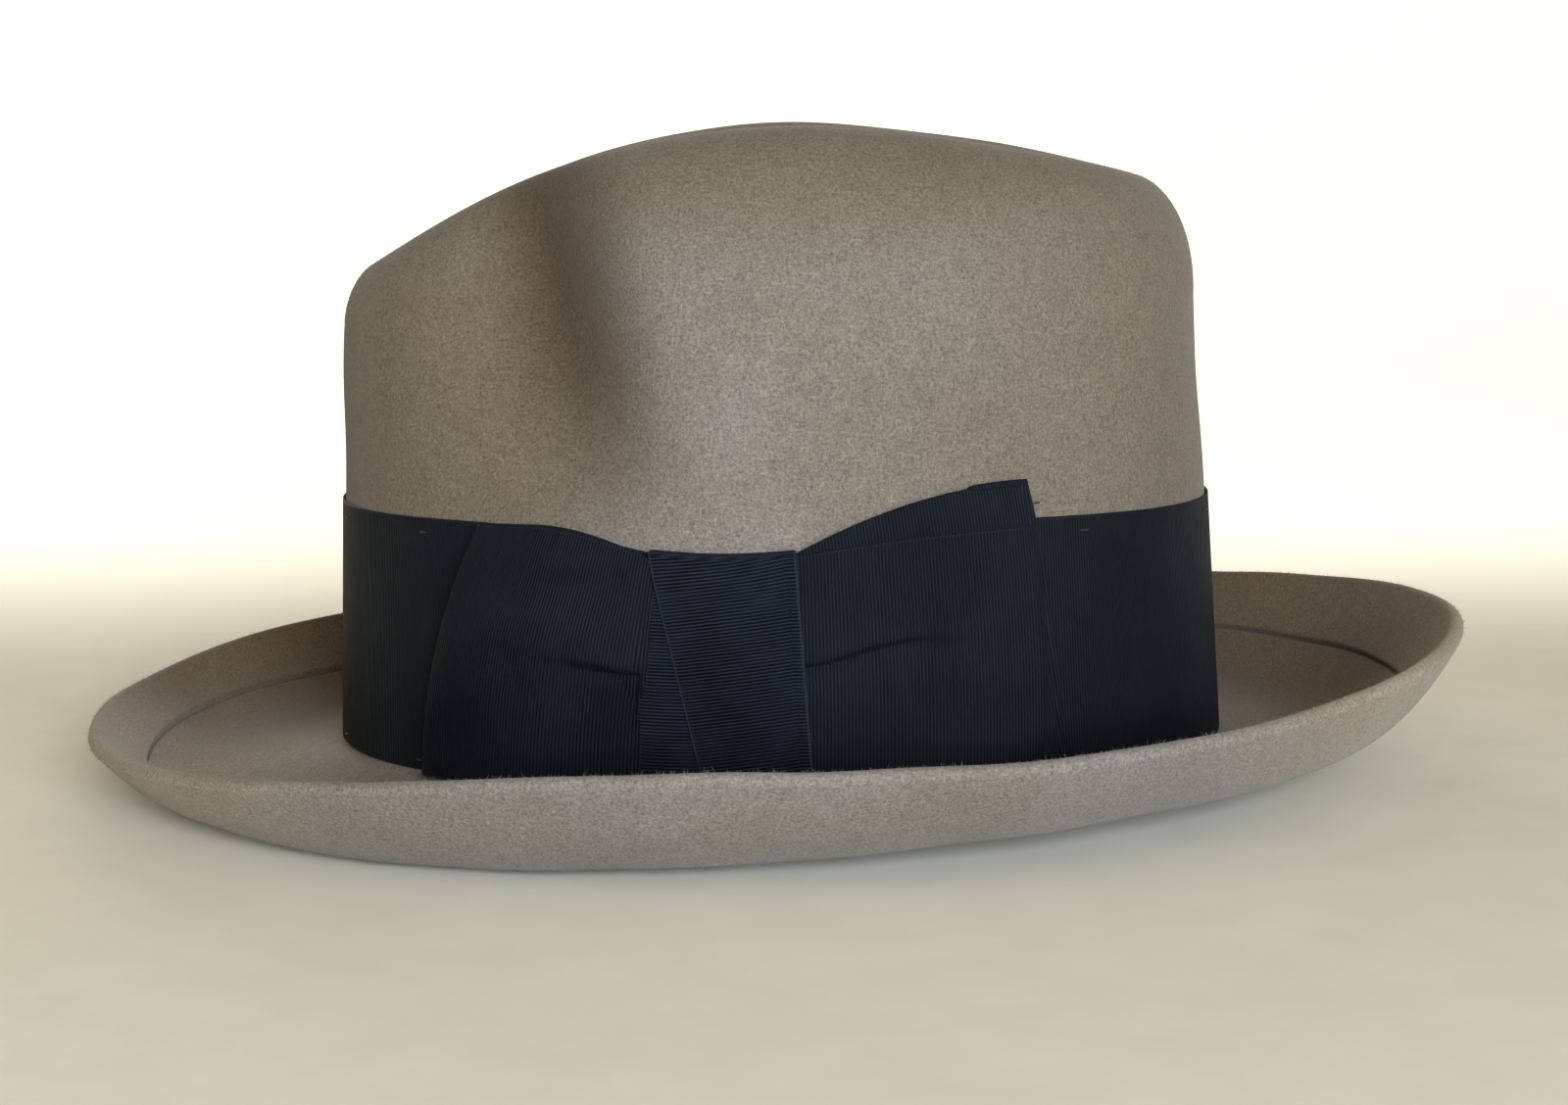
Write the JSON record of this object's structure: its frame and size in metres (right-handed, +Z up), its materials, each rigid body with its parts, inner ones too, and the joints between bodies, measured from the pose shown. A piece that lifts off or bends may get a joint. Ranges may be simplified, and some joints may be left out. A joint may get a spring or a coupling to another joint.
{
  "type": "fedora hat",
  "caption": "Felt fedora with a pinched teardrop crown, a brim curled up at the edge with a felt welt, a wide dark grosgrain band with a side bow, and a leather sweatband and lining inside.",
  "frame": {"origin": "centre of the head opening, at the height where the crown meets the brim at the front and the back", "axes": "+Z up out of the top of the crown; the front of the hat faces -Y, the back +Y; +X is the wearer's left, the side with the bow"},
  "size_m": [0.2868, 0.3187, 0.1496],
  "materials": {
    "felt": "matte",
    "grosgrain": "satin",
    "dark_thread": "matte",
    "leather": "satin",
    "reed": "satin",
    "tape": "matte",
    "thread": "satin",
    "inner_ribbon": "satin",
    "satin": "gloss",
    "piping": "satin"
  },
  "bodies": {
    "root": {"felt_body": "felt", "band_ribbon": "grosgrain", "band_tacks": "dark_thread", "bow_fan": "grosgrain", "bow_loop_rear": "grosgrain", "bow_loop_front": "grosgrain", "bow_knot_under": "grosgrain", "bow_knot": "grosgrain", "bow_tacks": "dark_thread", "sweatband": "leather", "sweatband_reed": "reed", "reed_tape": "tape", "sweatband_stitches": "thread", "sweatband_back_seam": "thread", "sweatband_bow_loops": "inner_ribbon", "sweatband_bow_knot": "inner_ribbon", "lining_side": "satin", "lining_tip": "satin", "lining_piping": "piping"}
  },
  "joints": []
}
